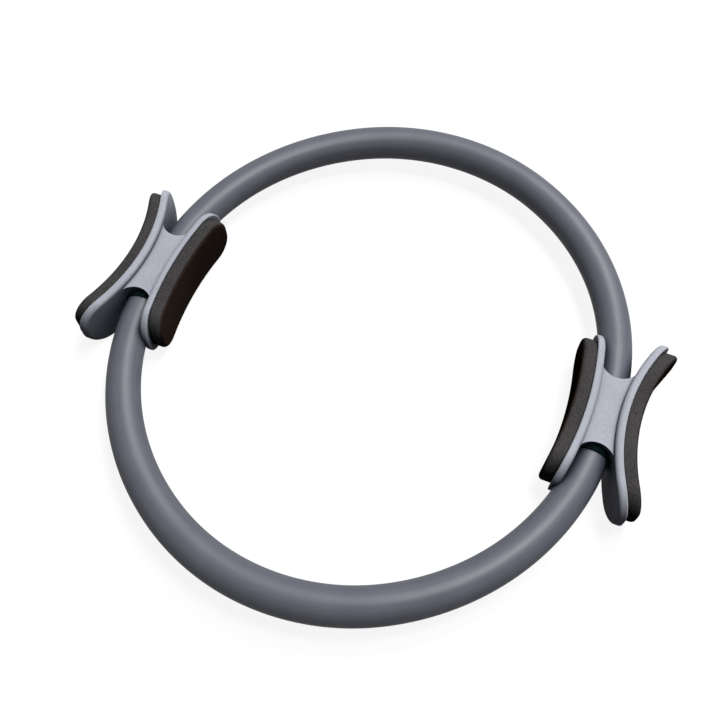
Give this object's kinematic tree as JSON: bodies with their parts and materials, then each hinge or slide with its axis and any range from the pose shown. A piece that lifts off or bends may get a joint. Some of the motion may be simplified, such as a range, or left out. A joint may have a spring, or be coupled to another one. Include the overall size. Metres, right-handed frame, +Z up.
{
  "type": "pilates ring",
  "caption": "Flexible oval hoop with a soft grey sleeve and opposite moulded handles, each with foam pads inside and outside, squeezed or pressed apart for resistance exercise.",
  "frame": {"origin": "centre of the hoop, on the plane that the handles' lower edges rest on", "axes": "+X from the left handle to the right handle, +Y from the front half of the hoop to the back half, +Z up along the hoop's axis"},
  "size_m": [0.3986, 0.395, 0.04],
  "materials": {
    "sleeve": "satin mid-grey soft rubber tube",
    "shell": "fine-textured light blue-grey moulded plastic",
    "pad": "charcoal closed-cell foam, matt and finely grained",
    "collar": "black rubber",
    "fibreglass": "pultruded fibreglass rod",
    "coupler": "cut aluminium tube",
    "steel": "zinc-plated steel"
  },
  "bodies": {
    "hoop": {"front_core": "fibreglass", "back_core": "fibreglass", "front_sleeve": "sleeve", "back_sleeve": "sleeve"},
    "left_handle": {"left_outer_shell": "shell", "left_inner_shell": "shell", "left_outer_pad": "pad", "left_inner_pad": "pad", "left_coupler": "coupler", "left_lock_pins": "steel", "left_shell_screws": "steel", "left_back_collar": "collar", "left_front_collar": "collar"},
    "right_handle": {"right_outer_shell": "shell", "right_inner_shell": "shell", "right_outer_pad": "pad", "right_inner_pad": "pad", "right_coupler": "coupler", "right_lock_pins": "steel", "right_shell_screws": "steel", "right_back_collar": "collar", "right_front_collar": "collar"}
  },
  "joints": [
    {"name": "left_squeeze", "type": "slide", "parent": "hoop", "child": "left_handle", "axis": [1, 0, 0], "range_m": [-0.01, 0.024], "stiffness_N_per_m": 2400, "deforming": ["front_core", "back_core", "front_sleeve", "back_sleeve"]},
    {"name": "right_squeeze", "type": "slide", "parent": "hoop", "child": "right_handle", "axis": [-1, 0, 0], "range_m": [-0.01, 0.024], "stiffness_N_per_m": 2400, "deforming": ["front_core", "back_core", "front_sleeve", "back_sleeve"]}
  ],
  "couplings": [
    {"joint": "right_squeeze", "follows": "left_squeeze", "ratio": 1}
  ]
}
